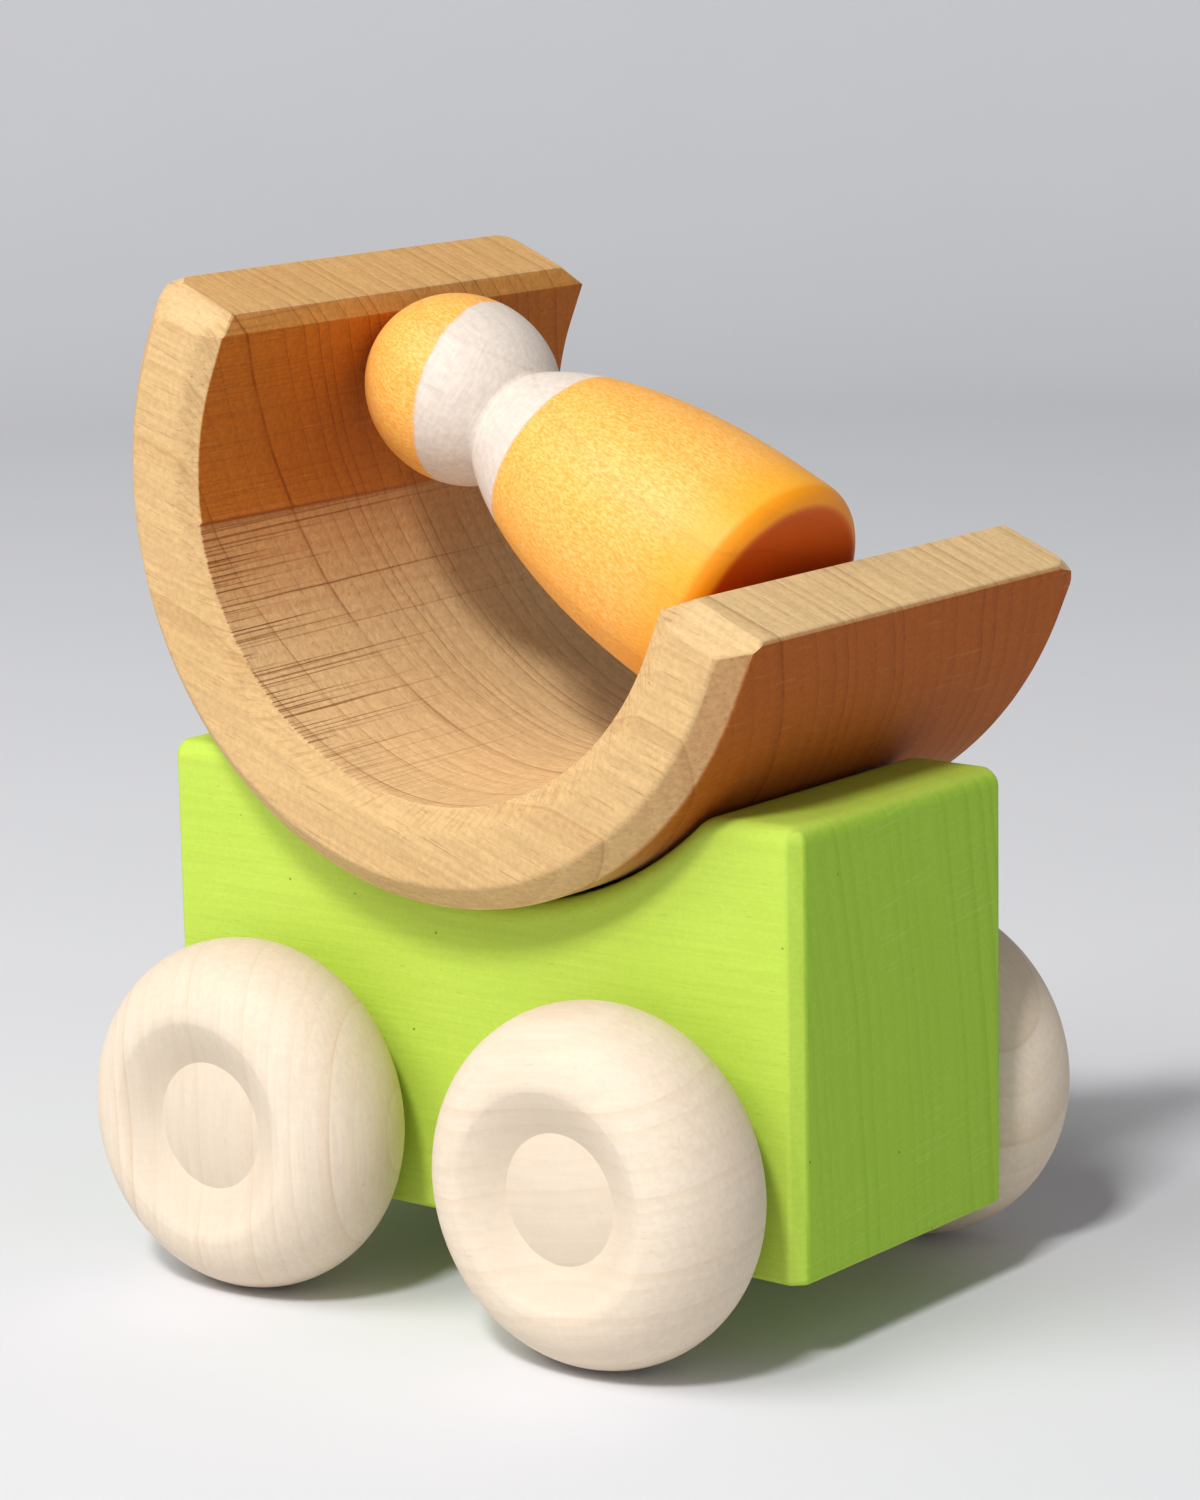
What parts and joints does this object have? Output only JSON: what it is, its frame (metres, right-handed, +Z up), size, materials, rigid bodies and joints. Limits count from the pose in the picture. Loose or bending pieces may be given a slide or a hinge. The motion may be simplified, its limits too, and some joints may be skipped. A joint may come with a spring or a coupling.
{
  "type": "stacking car toy",
  "caption": "Wooden stacking car: a dyed block with a saddle, on turned wheels, carries a loose rocking arch in which a turned peg figure lies.",
  "frame": {"origin": "on the floor, under the middle of the car's wheels", "axes": "+X towards the front of the car, +Y along the axles to the car's left, +Z up"},
  "size_m": [0.0898, 0.0776, 0.1128],
  "materials": {
    "green_dyed_wood": "yellow-green water dye on sanded wood, matt",
    "dowel_wood": "bare turned dowel",
    "pale_wood": "bare turned wood, lightly oiled",
    "brown_wood": "bare sawn and sanded wood, matt",
    "orange_dyed_wood": "orange water dye on the body and cap, bare face and shoulder"
  },
  "bodies": {
    "chassis": {"chassis_block": "green_dyed_wood"},
    "front_axle_set": {"front_axle": "dowel_wood", "front_left_wheel": "pale_wood", "front_right_wheel": "pale_wood"},
    "rear_axle_set": {"rear_axle": "dowel_wood", "rear_left_wheel": "pale_wood", "rear_right_wheel": "pale_wood"},
    "arch": {"rocking_arch": "brown_wood"},
    "figure": {"peg_figure": "orange_dyed_wood"}
  },
  "joints": [
    {"name": "front_axle_spin", "type": "hinge", "parent": "chassis", "child": "front_axle_set", "pos_m": [0.0249, 0, 0.01994], "axis": [0, 1, 0], "continuous": true},
    {"name": "rear_axle_spin", "type": "hinge", "parent": "chassis", "child": "rear_axle_set", "pos_m": [-0.0249, 0, 0.01994], "axis": [0, 1, 0], "continuous": true},
    {"name": "arch_rock", "type": "hinge", "parent": "chassis", "child": "arch", "pos_m": [0, 0.0061, 0.09004], "axis": [0, 1, 0], "range_deg": [-67.5, 22.5]},
    {"name": "figure_lift", "type": "slide", "parent": "arch", "child": "figure", "axis": [0.3827, 0, 0.9239], "range_m": [0, 0.08]}
  ]
}
